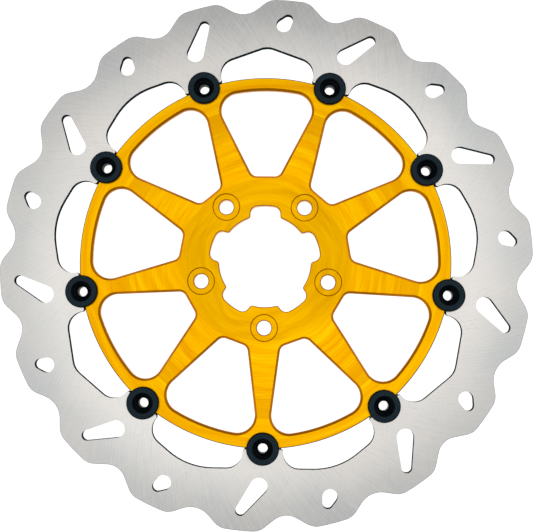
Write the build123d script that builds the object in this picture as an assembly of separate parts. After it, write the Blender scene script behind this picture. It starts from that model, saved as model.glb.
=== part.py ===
from build123d import *
import math
import os

os.makedirs("parts", exist_ok=True)

# Floating motorcycle brake disc, mm.  The disc lies flat: +Z is the wheel axis and points to
# the outer (front) side, z = 0 is the hub's back face that bolts to the wheel.  Sizes called
# ..._wall, ..._gap, ..._w or ..._fit are what is left between two pieces or features.

# ---- driving sizes -------------------------------------------------------------------------
n_sector = 9                # sectors = float buttons = spokes
first_button = 30.0         # angle of the first button, degrees
rim_r = 115.0               # carrier's outer radius; the buttons are centred on it
hub_back = 0.0
ring_back, ring_t = 1.0, 5.0        # the ring's back face and thickness
# friction ring
ring_r = 165.0              # crest radius of the waves
deep_wave, shallow_wave = 9.3, 8.6  # depths of the two kinds of trough
deep_at = 5.22              # angle of a deep trough after its button, degrees
deep_arc_r, shallow_arc_r = 12.2, 14.7      # their round bottoms
flank_deg, crest_fillet = 33.4, 11.4
rim_gap = 0.9               # between the carrier's rim and the lug tips
lug_wall, lug_length, lug_tip_fillet = 4.72, 11.3, 1.4
bay_corner = 10.2           # corner radius of the bays between the lugs
soft_top, peaked_top = 42.0, 12.0           # radii of their round and peaked tops
peaked_every = 3            # every third bay is a peaked one
# two-circle openings: (x, depth inside the crests, radius) of each end
slot_a, slot_b = (2.05, 27.2, 5.35), (13.15, 12.6, 3.25)   # in the button's frame
hole_a, hole_b = (10.15, 16.2, 4.65), (12.8, 12.8, 3.25)   # in the mid-sector frame
ring_bevel = 0.3
# carrier
rim_w, rim_bevel = 7.9, 0.5
hub_step = 0.8              # hub's front face above the ring's
spoke_half, spoke_flare = 3.40, 7.16        # half width at the rim's inner edge, degrees
hub_wall = 3.125            # between a bolt seat and the inner edge of the windows
window_in_fillet, window_out_fillet, window_chamfer = 4.8, 11.0, 1.4
# turned facets: (share of the way from the hub's edge to the rim, share of hub_step left)
facets = ((0.803, 0.0), (0.590, 0.375), (0.517, 0.5625), (0.332, 0.775), (0.148, 1.0))
pad_in, relief_w = 3.6, 2.0         # back: the pad ends inside the windows, then the relief
land_r, pocket_depth, pocket_half = 28.5, 5.95, 9.35
pocket_fillet, land_corner, bore_chamfer = 4.6, 1.8, 0.5
n_bolt, bolt_pcd, bolt_r, bolt_first = 5, 82.55, 4.5, -18.0
seat_land, seat_depth, bolt_chamfer = 4.1, 0.6, 0.5
# float buttons and what holds them
body_r, fit = 7.5, 0.08             # shank, radial running clearance
flange_lip, flange_t = 2.5, 2.4
head_bevel, head_bevel_w = 0.6, 0.6
through_r = 3.05
dish_r, recess_r, cone_r = 7.0, 5.6, 4.5    # steps of the opening in the head
dish_depth, recess_depth, cone_depth = 0.55, 3.0, 4.6
wave_h, wave_t, wave_n = 1.2, 0.3, 3        # installed height, stock, number of waves
wave_gap = 0.01                             # between each crest and what it bears on
wave_inset, wave_outset = 0.05, 0.3         # narrower than the flat washer by these
washer_t, washer_w, washer_fit = 0.8, 3.8, 0.1
snap_t, snap_lip, snap_gap = 0.9, 1.6, 3.2
groove_depth, groove_play, snap_fit = 0.7, 0.06, 0.05
end_land, end_bevel = 0.7, 0.3

# ---- sizes that follow ---------------------------------------------------------------------
step = 360.0 / n_sector
buttons = [first_button + step * k for k in range(n_sector)]
middles = [a + step / 2 for a in buttons]
ring_front = ring_back + ring_t
hub_front = ring_front + hub_step
notch_r = body_r + fit
lug_half = notch_r + lug_wall
lug_tip_r = rim_r + rim_gap
bay_y = lug_tip_r + lug_length      # the bays' straight tops, square to each button's radius
rim_in_r = rim_r - rim_w
seat_r = bolt_r + seat_land
window_in_y = bolt_pcd / 2 + seat_r + hub_wall
flange_r = body_r + flange_lip
groove_r = body_r - groove_depth
washer_in = body_r + washer_fit
washer_out = washer_in + washer_w
top_z = ring_front + flange_t
wave_low = ring_back - wave_h
washer_low = wave_low - washer_t
snap_low = washer_low - snap_t
groove_low = snap_low - groove_play
shank_low = groove_low - end_land
far, cut_over = 2 * ring_r, 2.0     # a cutter past everything; how far cutters run out
tiny = 0.01                         # for telling edges and corners apart


def at(angle, shape):
    """Turn something drawn with its radius along +Y so that the radius points at angle."""
    return shape.rotate(Axis.Z, angle - 90)


def radius(v):
    return math.hypot(v.X, v.Y)


def teardrop(a, b):
    """Outline round two circles given as (x, depth inside the crests, r)."""
    (x1, d1, r1), (x2, d2, r2) = a, b
    y1, y2 = ring_r - d1, ring_r - d2
    along = math.atan2(y2 - y1, x2 - x1)
    lean = math.acos((r1 - r2) / math.hypot(x2 - x1, y2 - y1))

    def on(x, y, r, t):
        return (x + r * math.cos(t), y + r * math.sin(t))

    up, down = along + lean, along - lean
    big, small = (x1, y1, r1), (x2, y2, r2)
    edges = [Line(on(*big, up), on(*small, up)),
             ThreePointArc(on(*small, up), on(*small, along), on(*small, down)),
             Line(on(*small, down), on(*big, down)),
             ThreePointArc(on(*big, down), on(*big, along + math.pi), on(*big, up))]
    return make_face(edges)


def trough(depth, arc_r):
    """Cutter for one wave trough: arc bottom with straight flanks."""
    s, c = math.sin(math.radians(flank_deg)), math.cos(math.radians(flank_deg))
    bottom, reach = ring_r - depth, 2 * arc_r
    cy = bottom + arc_r
    px, py = arc_r * s, cy - arc_r * c
    qx, qy = px + reach * c, py + reach * s
    return make_face([ThreePointArc((-px, py), (0, bottom), (px, py)), Line((px, py), (qx, qy)),
                      Line((qx, qy), (-qx, qy)), Line((-qx, qy), (-px, py))])


def bay(top_r):
    """Open bay between two lugs, drawn in the mid-sector frame."""
    h = math.radians(step / 2)

    def turn(x, y, s):
        return (s * (x * math.cos(h) + y * math.sin(h)), y * math.cos(h) - x * math.sin(h))

    apex, inner = (0, bay_y / math.cos(h)), lug_tip_r - lug_length
    right = [turn(-lug_half, bay_y, 1), turn(-lug_half, inner, 1)]
    left = [turn(-lug_half, inner, -1), turn(-lug_half, bay_y, -1)]
    face = make_face(Polyline(apex, *right, *left, close=True))
    corners = [v for v in face.vertices() if abs(v.Y - right[0][1]) < tiny]
    face = fillet(corners, bay_corner)
    tip = [v for v in face.vertices() if abs(v.X) < tiny]
    return fillet(tip, top_r)


def window():
    """One opening of the carrier between two spokes, drawn in its own frame."""
    h, flare = math.radians(step / 2), math.radians(spoke_flare)
    # where the spoke's side starts, beside the rim's inner edge, and how it leans
    x0 = rim_in_r * math.sin(h) - spoke_half * math.cos(h)
    y0 = rim_in_r * math.cos(h) + spoke_half * math.sin(h)
    k = math.tan(h + flare)
    lo, hi = x0 + (window_in_y - y0) * k, x0 + (rim_r - y0) * k
    face = make_face(Polyline((lo, window_in_y), (hi, rim_r), (-hi, rim_r), (-lo, window_in_y),
                              close=True)) & Circle(rim_in_r)
    inner = [v for v in face.vertices() if v.Y < window_in_y + tiny]
    face = fillet(inner, window_in_fillet)
    outer = [v for v in face.vertices() if radius(v) > rim_in_r - tiny]
    return fillet(outer, window_out_fillet)


def bore():
    """Pilot bore: five lands with a pocket between each pair."""
    pocket_r = land_r + pocket_depth
    face = Circle(land_r)
    pocket = Pos(0, pocket_r) * Rectangle(2 * pocket_half, land_r)
    pocket = pocket & Circle(pocket_r)
    tops = [v for v in pocket.vertices() if v.Y > land_r]
    pocket = fillet(tops, pocket_fillet)
    for k in range(n_bolt):
        face = face + at(bolt_first + 360 / n_bolt * (k + 0.5), pocket)
    corners = [v for v in face.vertices() if abs(radius(v) - land_r) < tiny]
    return fillet(corners, land_corner)


def slab(face, z0, z1):
    return extrude(Pos(0, 0, z0) * face, z1 - z0)


def make_ring():
    face = Circle(ring_r)
    for a in buttons:
        face = face - at(a + deep_at, trough(deep_wave, deep_arc_r))
        face = face - at(a + deep_at + step / 2, trough(shallow_wave, shallow_arc_r))
    rough = [v for v in face.vertices() if abs(radius(v) - ring_r) < tiny]
    face = fillet(rough, crest_fillet)
    face = face - Circle(lug_tip_r)
    for k, a in enumerate(middles):
        face = face - at(a, bay(peaked_top if k % peaked_every == 1 else soft_top))
    tips = [v for v in face.vertices() if abs(radius(v) - lug_tip_r) < tiny]
    face = fillet(tips, lug_tip_fillet)
    for a in buttons:
        face = face - at(a, Pos(0, rim_r) * Circle(notch_r)) - at(a, teardrop(slot_a, slot_b))
    for a in middles:
        face = face - at(a, teardrop(hole_a, hole_b))
    body = slab(face, ring_back, ring_front)
    for z in (ring_back, ring_front):
        body = chamfer(near_level(body.faces(), z).outer_wire().edges(), ring_bevel)
    return body


def near_level(faces, z):
    """The level face nearest to z."""
    return faces.filter_by(Plane.XY).sort_by(lambda f: abs(f.center().Z - z))[0]


def make_carrier():
    # turned from plate: the spokes fall from hub to rim in facets; the back is relieved
    reach, pad_r = rim_in_r - window_in_y, window_in_y - pad_in
    front = [(window_in_y + reach * along, ring_front + hub_step * left) for along, left in facets]
    profile = [(0, hub_back), (pad_r, hub_back), (pad_r + relief_w, ring_back),
               (rim_r - rim_bevel, ring_back), (rim_r, ring_back + rim_bevel),
               (rim_r, ring_front - rim_bevel), (rim_r - rim_bevel, ring_front), *front,
               (0, hub_front)]
    body = revolve(make_face(Polyline(*[(r, 0, z) for r, z in profile], close=True)), Axis.Z)
    # milled windows, chamfered all round on both sides
    for a in middles:
        body = body - at(a, slab(window(), hub_back - cut_over, hub_front + cut_over))
    walls = [f for f in body.faces() if abs(f.normal_at(f.center()).Z) < tiny
             and radius(f.center()) < rim_in_r + tiny]
    rims = [e for f in walls for e in f.edges() if e.bounding_box().size.Z < window_chamfer]
    body = chamfer(rims, window_chamfer)
    # pilot bore
    body = body - slab(bore(), hub_back - cut_over, hub_front + cut_over)
    for z in (hub_front, hub_back):
        mouth = [e for w in near_level(body.faces(), z).inner_wires() for e in w.edges()
                 if radius(w.bounding_box().center()) < land_r / 2]
        body = chamfer(mouth, bore_chamfer)
    # bolt holes with shallow seats, and half-round notches for the buttons
    for k in range(n_bolt):
        seat_z = hub_front - seat_depth
        hole = Pos(0, bolt_pcd / 2) * Cylinder(bolt_r, far)
        seat = Pos(0, bolt_pcd / 2, seat_z + seat_depth / 2) * Cone(
            seat_r - seat_depth, seat_r, seat_depth)
        lead = Pos(0, bolt_pcd / 2, seat_z - bolt_chamfer / 2) * Cone(
            bolt_r, bolt_r + bolt_chamfer, bolt_chamfer)
        body = body - at(bolt_first + 360 / n_bolt * k, hole + seat + lead)
    for a in buttons:
        body = body - at(a, Pos(0, rim_r) * Cylinder(notch_r, far))
    return body


def turned(points):
    """Solid of revolution from (r, z) points, then moved to the first button's place."""
    face = make_face(Polyline(*[(r, 0, z) for r, z in points], close=True))
    return Pos(0, rim_r, 0) * revolve(face, Axis.Z)


def make_button():
    return turned([
        (through_r, shank_low), (body_r - end_bevel, shank_low), (body_r, shank_low + end_bevel),
        (body_r, groove_low), (groove_r, groove_low), (groove_r, washer_low),
        (body_r, washer_low), (body_r, ring_front), (flange_r, ring_front),
        (flange_r, top_z - head_bevel), (flange_r - head_bevel_w, top_z), (dish_r, top_z),
        (recess_r, top_z - dish_depth), (recess_r, top_z - recess_depth),
        (cone_r, top_z - recess_depth), (through_r, top_z - cone_depth)])


def make_washer():
    return turned([(washer_in, washer_low), (washer_out, washer_low), (washer_out, wave_low),
                   (washer_in, wave_low)])


def make_snap():
    inner, outer = groove_r + snap_fit, body_r + snap_lip
    ring = turned([(inner, snap_low), (outer, snap_low), (outer, washer_low),
                   (inner, washer_low)])
    return ring - Pos(0, rim_r + outer, washer_low) * Box(snap_gap, 2 * outer, 4 * snap_t)


def make_wave():
    """Spring washer: a wavy band extruded to its thickness."""
    middle, rise = wave_low + (wave_h - wave_t) / 2, (wave_h - wave_t) / 2 - wave_gap
    points_round = 8 * wave_n

    def loop(r):
        turns = [2 * math.pi * i / points_round for i in range(points_round)]
        return Edge.make_spline([Vector(r * math.cos(t), r * math.sin(t),
                                        middle + rise * math.cos(wave_n * t)) for t in turns],
                                periodic=True)

    band = Face.make_surface_from_curves(loop(washer_in + wave_inset),
                                         loop(washer_out - wave_outset))
    return Pos(0, rim_r, 0) * extrude(band, wave_t, dir=(0, 0, 1))


parts = {"friction_ring": make_ring(), "carrier": make_carrier()}
kinds = {"button": make_button(), "wave_washer": make_wave(), "flat_washer": make_washer(),
         "snap_ring": make_snap()}
for i, a in enumerate(buttons, start=1):
    for kind, shape in kinds.items():
        parts[f"{kind}_{i}"] = at(a, shape)

for name, shape in parts.items():
    shape.label = name
    export_step(shape, f"parts/{name}.step")
    bb = shape.bounding_box()
    print(f"{name}: {len(shape.solids())} solid, volume {shape.volume:.1f},",
          f"z {bb.min.Z:.2f}..{bb.max.Z:.2f}")
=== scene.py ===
"""Floating motorcycle brake disc: a ground steel wave ring on a gold spoked carrier, joined by
nine sprung float buttons.  It lies on its back on a pale table under soft studio light."""
import bpy
import math
from mathutils import Matrix, Vector


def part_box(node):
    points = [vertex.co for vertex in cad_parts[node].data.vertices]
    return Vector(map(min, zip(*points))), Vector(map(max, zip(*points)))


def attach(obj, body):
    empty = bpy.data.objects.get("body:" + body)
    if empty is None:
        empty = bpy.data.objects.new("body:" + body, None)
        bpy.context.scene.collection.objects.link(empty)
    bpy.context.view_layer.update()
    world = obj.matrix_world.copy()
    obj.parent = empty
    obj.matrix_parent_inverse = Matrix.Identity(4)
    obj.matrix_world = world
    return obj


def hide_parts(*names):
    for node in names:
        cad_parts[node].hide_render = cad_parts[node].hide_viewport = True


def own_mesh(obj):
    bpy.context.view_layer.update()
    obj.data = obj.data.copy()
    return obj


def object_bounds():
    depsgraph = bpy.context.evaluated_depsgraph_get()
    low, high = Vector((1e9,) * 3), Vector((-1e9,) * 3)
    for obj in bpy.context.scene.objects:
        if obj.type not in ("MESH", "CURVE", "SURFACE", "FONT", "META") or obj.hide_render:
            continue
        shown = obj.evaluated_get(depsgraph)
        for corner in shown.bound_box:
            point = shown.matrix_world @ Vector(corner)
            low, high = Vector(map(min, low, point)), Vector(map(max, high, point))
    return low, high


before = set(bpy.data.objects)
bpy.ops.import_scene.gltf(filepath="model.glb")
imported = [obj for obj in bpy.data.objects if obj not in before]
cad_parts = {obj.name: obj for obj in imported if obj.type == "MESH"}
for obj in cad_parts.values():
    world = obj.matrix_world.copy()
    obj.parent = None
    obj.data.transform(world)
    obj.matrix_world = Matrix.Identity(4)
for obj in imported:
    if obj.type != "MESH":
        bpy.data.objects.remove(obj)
cad_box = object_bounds()
scene = bpy.context.scene

# ---- camera --------------------------------------------------------------------------------
# A 65 mm lens above the disc, almost square to its front face: leaned a few degrees and turned
# a little, so the button heads and slot walls show on one side.
LENS = 65.07
DISTANCE = 0.5958                      # from the ring's front face
ASIDE, ABOVE = -0.00104, 0.00300       # the disc's centre, off the lens axis
LEAN_X, LEAN_Y, ROLL = -0.0630, -0.0220, -0.0116

front_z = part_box("friction_ring")[1][2]
lean = (Matrix.Rotation(LEAN_X, 4, "X") @ Matrix.Rotation(LEAN_Y, 4, "Y")
        @ Matrix.Rotation(ROLL, 4, "Z"))
seen = Matrix.Translation((ASIDE, ABOVE, -DISTANCE)) @ lean @ Matrix.Translation((0, 0, -front_z))
camera = bpy.data.objects.new("camera", bpy.data.cameras.new("camera"))
camera.data.lens = LENS
camera.data.clip_start = 0.01
camera.matrix_world = seen.inverted()
scene.collection.objects.link(camera)
scene.camera = camera
scene.view_settings.view_transform = "Standard"


# ---- table and light -----------------------------------------------------------------------
# A plain white table under one wide softbox, with a long strip low on either side, in a grey
# room, so that level faces are bright and chamfers and walls go dark.
TABLE_SIZE = 40.0
ROOM = (0.34, 0.35, 0.37)
SOFTBOX = (1.9, 1.0, 1.35)             # width, depth, height above the disc
SOFTBOX_POWER, SOFTBOX_AHEAD = 7.7, 0.05        # and how far it hangs towards +Y
STRIP = (1.6, 0.25)
STRIP_AT, STRIP_HEIGHT, STRIP_POWER = 1.3, 0.75, 4.0
STRIP_BEARINGS = (25, -145)            # degrees from +X
STRIP_COLOUR = (1.0, 0.97, 0.93)

table = bpy.data.objects.new("table", bpy.data.meshes.new("table"))
half, low = TABLE_SIZE / 2, cad_box[0][2]
table.data.from_pydata([(-half, -half, low), (half, -half, low), (half, half, low),
                        (-half, half, low)], [], [(0, 1, 2, 3)])
scene.collection.objects.link(table)

world = bpy.data.worlds.new("room")
world.use_nodes = True
world.node_tree.nodes["Background"].inputs["Color"].default_value = (*ROOM, 1)
scene.world = world


def softbox(name, place, aim, size, power, colour=(1, 1, 1)):
    """A rectangular area light at place, facing aim."""
    data = bpy.data.lights.new(name, "AREA")
    data.shape, data.size, data.size_y = "RECTANGLE", *size
    data.energy, data.color = power, colour
    lamp = bpy.data.objects.new(name, data)
    place, aim = Vector(place), Vector(aim)
    lamp.matrix_world = Matrix.Translation(place) @ (aim - place).to_track_quat(
        "-Z", "Y").to_matrix().to_4x4()
    scene.collection.objects.link(lamp)


softbox("overhead", (0, SOFTBOX_AHEAD, SOFTBOX[2]), (0, SOFTBOX_AHEAD, 0), SOFTBOX[:2],
        SOFTBOX_POWER)
for number, bearing in enumerate(STRIP_BEARINGS, start=1):
    turn = math.radians(bearing)
    softbox(f"strip_{number}", (STRIP_AT * math.cos(turn), STRIP_AT * math.sin(turn), STRIP_HEIGHT),
            (0, 0, 0), STRIP, STRIP_POWER, STRIP_COLOUR)


# ---- friction ring -------------------------------------------------------------------------
# Laser-cut stainless steel, its two faces ground by a cup wheel whose grit leaves long strokes
# that lean across the ring; the cut walls keep their dark oxide and the edges a fine bevel.
MM = 1000                              # in a metre


class Wire:
    """A number, colour or vector inside a finish; arithmetic on it adds the Math nodes."""

    def __init__(self, finish, socket):
        self.finish, self.socket = finish, socket

    def maths(self, operation, *values):
        return self.finish.add("Math", {"operation": operation}, dict(enumerate(values)))

    def __add__(self, other):
        return self.maths("ADD", self, other)

    def __sub__(self, other):
        return self.maths("SUBTRACT", self, other)

    def __rsub__(self, other):
        return self.maths("SUBTRACT", other, self)

    def __mul__(self, other):
        return self.maths("MULTIPLY", self, other)

    def __truediv__(self, other):
        return self.maths("DIVIDE", self, other)

    def __pow__(self, other):
        return self.maths("POWER", self, other)

    def __gt__(self, other):
        return self.maths("GREATER_THAN", self, other)

    def __lt__(self, other):
        return self.maths("LESS_THAN", self, other)

    def __abs__(self):
        return self.maths("ABSOLUTE", self)

    __radd__, __rmul__ = __add__, __mul__


class Finish:
    """A procedural finish; every node comes from add(): type, settings, then sockets."""

    def __init__(self, name):
        self.material = bpy.data.materials.new(name)
        self.material.use_nodes = True
        self.tree = self.material.node_tree
        self.tree.nodes.clear()

    def add(self, kind, settings=None, sockets=None, out=0):
        node = self.tree.nodes.new("ShaderNode" + kind)
        for key, value in (settings or {}).items():
            setattr(node, key, value)
        for key, value in (sockets or {}).items():
            if isinstance(value, Wire):
                self.tree.links.new(value.socket, node.inputs[key])
            else:
                node.inputs[key].default_value = value
        return Wire(self, node.outputs[out]) if len(node.outputs) else None

    def place(self):
        """Where the point is, in millimetres, as x, y and z."""
        spot = self.add("TexCoord", out=3)
        metres = [self.add("SeparateXYZ", None, {0: spot}, out=i) for i in range(3)]
        return [axis * MM for axis in metres]

    def join(self, x, y, z):
        return self.add("CombineXYZ", None, {0: x, 1: y, 2: z})

    def noise(self, vector, scale=1.0, detail=2.0, rough=0.5):
        return self.add("TexNoise", None, {"Vector": vector, "Scale": scale, "Detail": detail,
                                           "Roughness": rough})

    def blend(self, share, first, second):
        """The first colour where share is 0 and the second where it is 1."""
        return self.add("Mix", {"data_type": "RGBA"}, {0: share, 6: first, 7: second}, out=2)

    def ramp(self, value, low, high):
        """value's stretch from low to high, spread over 0 to 1 and held at the ends."""
        return self.add("MapRange", {"clamp": True}, {0: value, 1: low, 2: high, 3: 0.0, 4: 1.0})

    def steepness(self):
        """0 on a level face, 1 on an upright wall."""
        normal = self.add("NewGeometry", out=3)
        return 1 - abs(self.add("SeparateXYZ", None, {0: normal}, out=2))

    def leaning(self, x, y, r, lean_deg, fine, long, seed=0.0):
        """Strokes that cross the radius at lean_deg: fine across them, long along them."""
        turn = (r / 140).maths("LOGARITHM", r / 140, math.e) * math.tan(math.radians(lean_deg))
        c, s = turn.maths("COSINE", turn), turn.maths("SINE", turn)
        across = (x * c + y * s) / r * fine, (y * c - x * s) / r * fine
        return self.noise(self.join(*across, r / long + seed), 1.0, 3.0, 0.6)

    def bumped(self, height, depth, strength=1.0):
        return self.add("Bump", None, {"Strength": strength, "Distance": depth,
                                       "Height": height})

    def surface(self, **sockets):
        """Ends the finish in one Principled shader."""
        names = {key.replace("_", " ").title().replace("Ior", "IOR"): value
                 for key, value in sockets.items()}
        shader = self.add("BsdfPrincipled", None, names)
        self.add("OutputMaterial", None, {"Surface": shader})
        return self.material


# painted sheen: the ground face is painted paler towards the ring's inner edge, and painted shade
# darker towards its outer edge
SHEEN_BAND, SHADE_BAND = (150.0, 130.0), (146.0, 160.0)    # radii over which the painted sheen and painted shade come in, mm
SHEEN_SHARE, SHADE_SHARE = 0.6, 0.25
COOL_STEEL, WARM_STEEL = (0.500, 0.508, 0.492, 1), (0.580, 0.556, 0.522, 1)
PALE_STROKE, DARK_STROKE = (0.66, 0.65, 0.63, 1), (0.40, 0.405, 0.40, 1)
SHEEN_STEEL, SHADED_STEEL = (0.74, 0.70, 0.655, 1), (0.33, 0.335, 0.33, 1)
# painted shade on the bevels
SHADED_BEVEL_STEEL = (0.14, 0.16, 0.18, 1)
BLACK_OXIDE, SLATE_OXIDE = (0.008, 0.016, 0.020, 1), (0.016, 0.027, 0.033, 1)
BEVEL_FROM, WALL_FROM = 0.06, 0.8      # the steepness where a bevel and a cut wall begin
STROKE_LEAN = 30                       # degrees; the cross strokes lean the other way


def ground_steel():
    steel = Finish("ground_steel")
    x, y, z = steel.place()
    r = (x * x + y * y) ** 0.5
    # each set of strokes: its lean, how fine and how long it is, and its own seed
    main = steel.leaning(x, y, r, STROKE_LEAN, 240, 14)
    cross = steel.leaning(x, y, r, -34, 190, 22, 7)
    coarse = steel.leaning(x, y, r, 38, 60, 40, 3)
    cloud = steel.noise(steel.join(x, y, z), 0.022, 2.0)
    strokes = main * 0.55 + cross * 0.3 + coarse * 0.15
    face = steel.blend(steel.ramp(cloud, 0.35, 0.65), COOL_STEEL, WARM_STEEL)
    # painted sheen near the inner edge, painted shade near the outer edge
    face = steel.blend(steel.ramp(r, *SHEEN_BAND) * SHEEN_SHARE, face, SHEEN_STEEL)
    face = steel.blend(steel.ramp(r, *SHADE_BAND) * SHADE_SHARE, face, SHADED_STEEL)
    face = steel.blend(steel.ramp(strokes, 0.5, 0.75), face, PALE_STROKE)
    face = steel.blend(steel.ramp(strokes, 0.5, 0.25), face, DARK_STROKE)
    scratch = steel.leaning(x, y, r, 52, 110, 60, 11)
    face = steel.blend(steel.ramp(scratch, 0.70, 0.76) * 0.5, face, PALE_STROKE)
    steep = steel.steepness()
    bevel, wall = steep > BEVEL_FROM, steep > WALL_FROM
    oxide = steel.noise(steel.join(x, y, z * 4), 0.5, 4.0)
    walls = steel.blend(oxide, BLACK_OXIDE, SLATE_OXIDE)
    # painted shade: sloped bevels are painted a dark blue-grey
    colour = steel.blend(bevel, face, SHADED_BEVEL_STEEL)
    colour = steel.blend(wall, colour, walls)
    roughness = steel.ramp(strokes, 0.2, 0.8) * 0.22 + 0.26 + wall * 0.3
    return steel.surface(base_color=colour, metallic=1 - wall, roughness=roughness,
                         specular_ior_level=0.0,
                         anisotropic=0.6, anisotropic_rotation=STROKE_LEAN / 360,
                         tangent=steel.add("Tangent", {"direction_type": "RADIAL", "axis": "Z"}),
                         normal=steel.bumped(strokes, 0.00004, 0.35))


def dress(node, material):
    """Gives a carried-over solid its finish."""
    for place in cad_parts[node].material_slots:
        place.material = material


dress("friction_ring", ground_steel())


# ---- carrier -------------------------------------------------------------------------------
# One aluminium plate, turned on its front in shallow facets, milled out into nine spokes and
# gold anodised; chamfers, walls, the rim's outer bevel, the hub and the outer facet get painted
# shade.
FACETS = (61.0, 71.0, 81.0, 84.9, 96.4)          # radii of the turned steps, mm
FACET_LINE = 0.22                                # width of the line a step leaves, mm
HUB_SHADE_RADII = (56.0, 48.0)                           # painted shade: the hub is painted darker inside these radii, mm
RIM_EDGE = 114.3                                 # the rim's outer bevel starts here, mm
DEEP_GOLD, RICH_GOLD = (0.62, 0.255, 0.0, 1), (0.74, 0.355, 0.0, 1)
BRIGHT_GOLD = (0.84, 0.48, 0.001, 1)
SHADED_HUB_LOW, SHADED_HUB_HIGH = (0.53, 0.25, 0.0, 1), (0.70, 0.36, 0.0, 1)
HUB_SHADE_SHARE, LINE_SHARE, RAMP_SHADE_SHARE = 0.85, 0.55, 0.45
SHADED_CHAMFER_ORANGE, SHADED_RIM_BROWN = (0.60, 0.22, 0.0, 1), (0.14, 0.04, 0.0, 1)
CHAMFER_SHADE_STEEPNESS = (0.06, 0.22)                     # over which the painted shade on chamfers and walls comes in


def gold_anodised():
    gold = Finish("gold_anodised")
    x, y, z = gold.place()
    r = (x * x + y * y) ** 0.5
    c, s = x / r, y / r
    grooves = gold.noise(gold.join(r * 2.2, c * 3, s * 3), 1.0, 2.0, 0.6)
    marks = gold.noise(gold.join(r * 0.8, c * 1.6, s * 1.6 + 5), 1.0, 1.0)
    wander = gold.noise(gold.join(c * 1.1, s * 1.1, 3.0), 1.0, 1.0) * 26
    crescents = gold.noise(gold.join((r + wander) / 4.5, c * 0.9, s * 0.9), 1.0, 1.0, 0.4)
    grain = gold.noise(gold.join(x, y, z), 1.6, 3.0, 0.6)
    tone = crescents * 0.42 + marks * 0.2 + grooves * 0.26 + grain * 0.12
    face = gold.blend(gold.ramp(tone, 0.36, 0.5), DEEP_GOLD, RICH_GOLD)
    face = gold.blend(gold.ramp(tone, 0.5, 0.64), face, BRIGHT_GOLD)
    lines = sum(r.maths("COMPARE", r, facet, FACET_LINE) for facet in FACETS)
    # painted shade: the sloping facet between the two outer steps is painted darker
    shaded_ramp_facet = (r > FACETS[3]) * (r < FACETS[4])
    face = gold.blend(lines * LINE_SHARE + shaded_ramp_facet * RAMP_SHADE_SHARE, face, DEEP_GOLD)
    # painted shade: the hub is painted a darker gold
    hub = gold.blend(gold.ramp(tone, 0.38, 0.62), SHADED_HUB_LOW, SHADED_HUB_HIGH)
    face = gold.blend(gold.ramp(r, *HUB_SHADE_RADII) * HUB_SHADE_SHARE, face, hub)
    # painted shade: chamfers and walls are painted darker orange, the rim's outer bevel and wall
    # dark brown
    cut = gold.blend(r > RIM_EDGE, SHADED_CHAMFER_ORANGE, SHADED_RIM_BROWN)
    colour = gold.blend(gold.ramp(gold.steepness(), *CHAMFER_SHADE_STEEPNESS), face, cut)
    roughness = gold.ramp(tone, 0.2, 0.8) * 0.12 + 0.27
    return gold.surface(base_color=colour, metallic=1.0, roughness=roughness,
                        anisotropic=0.6,
                        tangent=gold.add("Tangent", {"direction_type": "RADIAL", "axis": "Z"}),
                        normal=gold.bumped(grooves, 0.00003, 0.3))


dress("carrier", gold_anodised())


# ---- float buttons -------------------------------------------------------------------------
# Black hard-anodised aluminium bobbins, turned from bar: a wide head with rounded edges on the
# front, a counterbored cone inside it and a plain shank that ends in a snap-ring groove.
button_names = [f"button_{i}" for i in range(1, 10)]
first_low, first_high = (Vector(corner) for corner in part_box(button_names[0]))
first_centre = (first_low + first_high) / 2
PITCH_R, FIRST_BEARING = first_centre.xy.length, math.atan2(first_centre.y, first_centre.x)
HEAD_R = 0.0100
HEAD_TOP, HEAD_LOW, SHANK_END = first_high.z, front_z, first_low.z
SHANK_R, GROOVE_R, BORE_R = 0.0075, 0.0068, 0.00305
GROOVE_TOP, GROOVE_END = -0.0010, -0.00196
ARC_STEPS = 4
CONE_R, LEDGE_R, RECESS_R, LIP_R, DISH_R = 0.0045, 0.0054, 0.0056, 0.0061, 0.0070
CONE_END, CONE_DEPTH, LEDGE_DEPTH = 0.0046, 0.0033, 0.0030      # below the head's top
DISH_DEPTH, LIP_DEPTH = 0.00055, 0.00012
HEAD_BEVEL, HEAD_BEVEL_W = 0.0005, 0.0007
WELL_SHADE_RADII = (6.7, 6.2)                           # painted shade in the counterbore, radii in mm
RIM_SHADE_FROM = 9.45                                  # and painted shade on the head's rounded rim outside this
BLUE_BLACK, GREY_BLACK = (0.006, 0.016, 0.024, 1), (0.013, 0.025, 0.034, 1)
RUBBED_BLACK, SHADE_BLACK = (0.035, 0.042, 0.048, 1), (0.0, 0.0015, 0.003, 1)


def centre_of(node):
    low_corner, high_corner = (Vector(corner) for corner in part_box(node))
    return (low_corner + high_corner) / 2


def rounded(corners):
    """The closed outline through (radius, height, rounding), with arcs at rounded corners."""
    points, count = [], len(corners)
    for i, (x, y, rounding) in enumerate(corners):
        here = Vector((x, y))
        if rounding == 0:
            points.append(here)
            continue
        before = (Vector(corners[i - 1][:2]) - here).normalized()
        after = (Vector(corners[(i + 1) % count][:2]) - here).normalized()
        half_angle = before.angle(after) / 2
        reach = rounding / math.tan(half_angle)
        middle = here + (before + after).normalized() * rounding / math.sin(half_angle)
        start, end = here + before * reach - middle, here + after * reach - middle
        sweep = start.angle_signed(end)
        for k in range(ARC_STEPS + 1):
            points.append(middle + Matrix.Rotation(-sweep * k / ARC_STEPS, 2) @ start)
    return points


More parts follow.
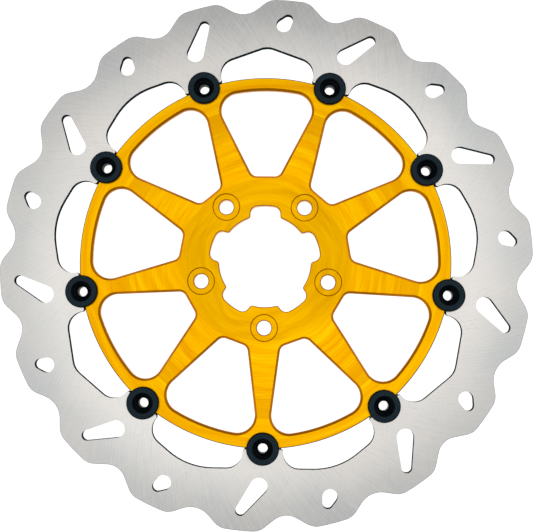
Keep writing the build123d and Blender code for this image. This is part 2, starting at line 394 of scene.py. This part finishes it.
def turned_tree():
    """Turns the object's outline, kept as loose points, round an upright axis at Centre."""
    tree = bpy.data.node_groups.new("turned_part", "GeometryNodeTree")
    face = tree.interface
    face.new_socket("Outline", in_out="INPUT", socket_type="NodeSocketGeometry")
    face.new_socket("Centre", in_out="INPUT", socket_type="NodeSocketVector")
    face.new_socket("Steps Round", in_out="INPUT", socket_type="NodeSocketInt")
    face.new_socket("Outline Points", in_out="INPUT", socket_type="NodeSocketInt")
    face.new_socket("Waves", in_out="INPUT", socket_type="NodeSocketInt")
    face.new_socket("Wave Height", in_out="INPUT", socket_type="NodeSocketFloat")
    face.new_socket("Finish", in_out="INPUT", socket_type="NodeSocketMaterial")
    face.new_socket("Part", in_out="OUTPUT", socket_type="NodeSocketGeometry")

    def node(kind, settings=None, sockets=None, out=0):
        made = tree.nodes.new(kind)
        for key, value in (settings or {}).items():
            setattr(made, key, value)
        for key, value in (sockets or {}).items():
            if isinstance(value, bpy.types.NodeSocket):
                tree.links.new(value, made.inputs[key])
            else:
                made.inputs[key].default_value = value
        return made.outputs[out] if len(made.outputs) else made

    def maths(operation, *values):
        return node("ShaderNodeMath", {"operation": operation}, dict(enumerate(values)))

    given = tree.nodes.new("NodeGroupInput").outputs
    rows = maths("ADD", given["Steps Round"], 1)
    columns = maths("ADD", given["Outline Points"], 1)
    sheet = node("GeometryNodeMeshGrid", None, {"Vertices X": rows, "Vertices Y": columns})
    index = node("GeometryNodeInputIndex")
    row = maths("FLOOR", maths("DIVIDE", index, columns))
    column = maths("SUBTRACT", index, maths("MULTIPLY", row, columns))
    angle = maths("MULTIPLY", maths("DIVIDE", row, given["Steps Round"]), 2 * math.pi)
    point = node("GeometryNodeSampleIndex", {"data_type": "FLOAT_VECTOR"},
                 {0: given["Outline"], 1: node("GeometryNodeInputPosition"),
                  2: maths("FLOORED_MODULO", column, given["Outline Points"])})
    radius = node("ShaderNodeSeparateXYZ", None, {0: point}, out=0)
    height = node("ShaderNodeSeparateXYZ", None, {0: point}, out=2)
    wave = maths("MULTIPLY", maths("COSINE", maths("MULTIPLY", angle, given["Waves"])),
                 given["Wave Height"])
    spot = node("ShaderNodeCombineXYZ", None,
                {0: maths("MULTIPLY", radius, maths("COSINE", angle)),
                 1: maths("MULTIPLY", radius, maths("SINE", angle)),
                 2: maths("ADD", height, wave)})
    spot = node("ShaderNodeVectorMath", {"operation": "ADD"}, {0: spot, 1: given["Centre"]})
    part = node("GeometryNodeSetPosition", None, {"Geometry": sheet, "Position": spot})
    part = node("GeometryNodeMergeByDistance", None, {"Geometry": part, "Distance": 1e-6})
    part = node("GeometryNodeSetShadeSmooth", None, {"Geometry": part})
    part = node("GeometryNodeRealizeInstances", None, {"Geometry": part})
    part = node("GeometryNodeSetMaterial", None, {"Geometry": part,
                                                  "Material": given["Finish"]})
    tree.links.new(part, tree.nodes.new("NodeGroupOutput").inputs["Part"])
    return tree


turning = turned_tree()


def turned(name, outline, centre, finish, steps=96, waves=0, wave_height=0.0):
    """A plain mesh turned from outline, a list of (radius, height), about centre."""
    holder = bpy.data.objects.new(name, bpy.data.meshes.new(name + "_outline"))
    holder.data.from_pydata([(p[0], 0, p[1]) for p in outline], [], [])
    scene.collection.objects.link(holder)
    modifier = holder.modifiers.new("turned", "NODES")
    modifier.node_group = turning
    wanted = {"Centre": (centre[0], centre[1], 0.0), "Steps Round": steps,
              "Outline Points": len(outline), "Waves": waves, "Wave Height": wave_height,
              "Finish": finish}
    for item in turning.interface.items_tree:
        if item.in_out == "INPUT" and item.name in wanted:
            modifier[item.identifier] = wanted[item.name]
    view = bpy.context.evaluated_depsgraph_get()
    mesh = bpy.data.meshes.new_from_object(holder.evaluated_get(view))
    holder.modifiers.clear()
    holder.data = mesh
    mesh.name = name
    mesh.set_sharp_from_angle(angle=math.radians(35))
    return holder


def black_anodised():
    black = Finish("black_anodised")
    x, y, z = black.place()
    r, bearing = (x * x + y * y) ** 0.5, y.maths("ARCTAN2", y, x)
    sector = 2 * math.pi / len(button_names)
    share = (bearing - FIRST_BEARING) / sector
    local = (share - share.maths("ROUND", share)) * sector
    ahead = r * local.maths("COSINE", local) - PITCH_R * MM
    aside = r * local.maths("SINE", local)
    own_r = (ahead * ahead + aside * aside) ** 0.5
    grooves = black.noise(black.join(own_r * 3.4, 0.0, z), 1.0, 2.0, 0.6)
    mottle = black.noise(black.join(x, y, z), 0.16, 2.0)
    colour = black.blend(mottle, BLUE_BLACK, GREY_BLACK)
    rub = black.noise(black.join(x, y, z), 0.9, 4.0, 0.65)
    colour = black.blend(black.ramp(rub, 0.62, 0.8) * 0.5, colour, RUBBED_BLACK)
    # painted shade: steep faces, the counterbore and the head's rounded rim are painted near black
    painted_shade = black.ramp(black.steepness(), 0.05, 0.5)
    for darker in (black.ramp(own_r, *WELL_SHADE_RADII), own_r > RIM_SHADE_FROM):
        painted_shade = painted_shade.maths("MAXIMUM", painted_shade, darker)
    colour = black.blend(painted_shade, colour, SHADE_BLACK)
    return black.surface(base_color=colour, metallic=0.0, roughness=grooves * 0.2 + 0.36,
                         specular_ior_level=0.06, normal=black.bumped(grooves, 0.00003, 0.4))


BUTTON_OUTLINE = rounded([
    (BORE_R, SHANK_END, 0.0002), (BORE_R, HEAD_TOP - CONE_END, 0.0003),
    (CONE_R, HEAD_TOP - CONE_DEPTH, 0.0001), (LEDGE_R, HEAD_TOP - LEDGE_DEPTH, 0.0002),
    (RECESS_R, HEAD_TOP - DISH_DEPTH, 0.00015), (LIP_R, HEAD_TOP - LIP_DEPTH, 0.0002),
    (DISH_R, HEAD_TOP, 0.0004), (HEAD_R - HEAD_BEVEL_W, HEAD_TOP, 0.0004),
    (HEAD_R, HEAD_TOP - HEAD_BEVEL, 0.0003), (HEAD_R, HEAD_LOW, 0.0001),
    (SHANK_R, HEAD_LOW, 0), (SHANK_R, GROOVE_TOP, 0), (GROOVE_R, GROOVE_TOP, 0),
    (GROOVE_R, GROOVE_END, 0), (SHANK_R, GROOVE_END, 0), (SHANK_R, SHANK_END, 0.00025)])
button_finish = black_anodised()
for number, name in enumerate(button_names, start=1):
    button = turned(f"float_button_{number}", BUTTON_OUTLINE, centre_of(name), button_finish)
    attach(button, f"button_set_{number}")
    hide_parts(name)


# ---- wave washers --------------------------------------------------------------------------
# Three-wave spring washers stamped from blue-tempered strip; they press the disc forward
# against the button heads.  The real ones flatten as the ring floats back; these keep one shape.
BLUED, STRAW, WORN = (0.10, 0.11, 0.15, 1), (0.24, 0.20, 0.17, 1), (0.4, 0.4, 0.4, 1)


def spring_steel():
    spring = Finish("spring_steel")
    x, y, z = spring.place()
    heat = spring.noise(spring.join(x, y, z), 0.12, 2.0)
    grain = spring.noise(spring.join(x, y, z * 3), 2.2, 3.0)
    colour = spring.blend(heat, BLUED, STRAW)
    colour = spring.blend(spring.ramp(grain, 0.5, 0.8) * 0.4, colour, WORN)
    return spring.surface(base_color=colour, metallic=1.0, roughness=grain * 0.25 + 0.25,
                          normal=spring.bumped(grain, 0.00002, 0.4))


spring_finish = spring_steel()
WAVE_IN, WAVE_OUT, WAVE_STOCK = 0.00765, 0.0111, 0.0003
WAVE_COUNT, FLATTENED = 3, 0.75        # waves, and the height kept when the ring is back
EDGE_ROUND = 0.00008
wave_low, wave_high = (Vector(corner).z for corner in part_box("wave_washer_1"))
wave_middle = (wave_low + wave_high) / 2
wave_rise = (wave_high - wave_low - WAVE_STOCK) / 2
WAVE_OUTLINE = rounded([
    (WAVE_IN, wave_middle - WAVE_STOCK / 2, EDGE_ROUND),
    (WAVE_IN, wave_middle + WAVE_STOCK / 2, EDGE_ROUND),
    (WAVE_OUT, wave_middle + WAVE_STOCK / 2, EDGE_ROUND),
    (WAVE_OUT, wave_middle - WAVE_STOCK / 2, EDGE_ROUND)])
for number, name in enumerate(button_names, start=1):
    washer = turned(f"wave_spring_{number}", WAVE_OUTLINE, centre_of(name), spring_finish,
                    steps=72, waves=WAVE_COUNT, wave_height=wave_rise)
    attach(washer, f"button_set_{number}")
    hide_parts(f"wave_washer_{number}")
    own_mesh(washer)


# ---- flat washers and snap rings -----------------------------------------------------------
# Plain stainless thrust washers under open snap rings of the same tempered strip.
DULL_WASHER, BRIGHT_WASHER = (0.36, 0.37, 0.38, 1), (0.60, 0.60, 0.59, 1)


def washer_steel():
    washer = Finish("washer_steel")
    x, y, z = washer.place()
    tumble = washer.noise(washer.join(x, y, z), 1.4, 4.0, 0.65)
    colour = washer.blend(tumble, DULL_WASHER, BRIGHT_WASHER)
    return washer.surface(base_color=colour, metallic=1.0, roughness=tumble * 0.3 + 0.2,
                          normal=washer.bumped(tumble, 0.00002, 0.5))


washer_finish = washer_steel()
for number in range(1, len(button_names) + 1):
    dress(f"flat_washer_{number}", washer_finish)
    dress(f"snap_ring_{number}", spring_finish)


# ---- table top -----------------------------------------------------------------------------
# A clean matt white sheet.
TABLE_LOW, TABLE_HIGH = (0.30, 0.30, 0.30, 1), (0.35, 0.35, 0.35, 1)
TABLE_GLOW = 0.95                      # keeps the sheet white where the disc shades it


def table_white():
    white = Finish("table_white")
    x, y, z = white.place()
    haze = white.noise(white.join(x, y, z), 0.004, 2.0)
    return white.surface(base_color=white.blend(haze, TABLE_LOW, TABLE_HIGH),
                         roughness=0.9, specular_ior_level=0.1,
                         emission_color=(1, 1, 1, 1), emission_strength=TABLE_GLOW)


table.data.materials.append(table_white())
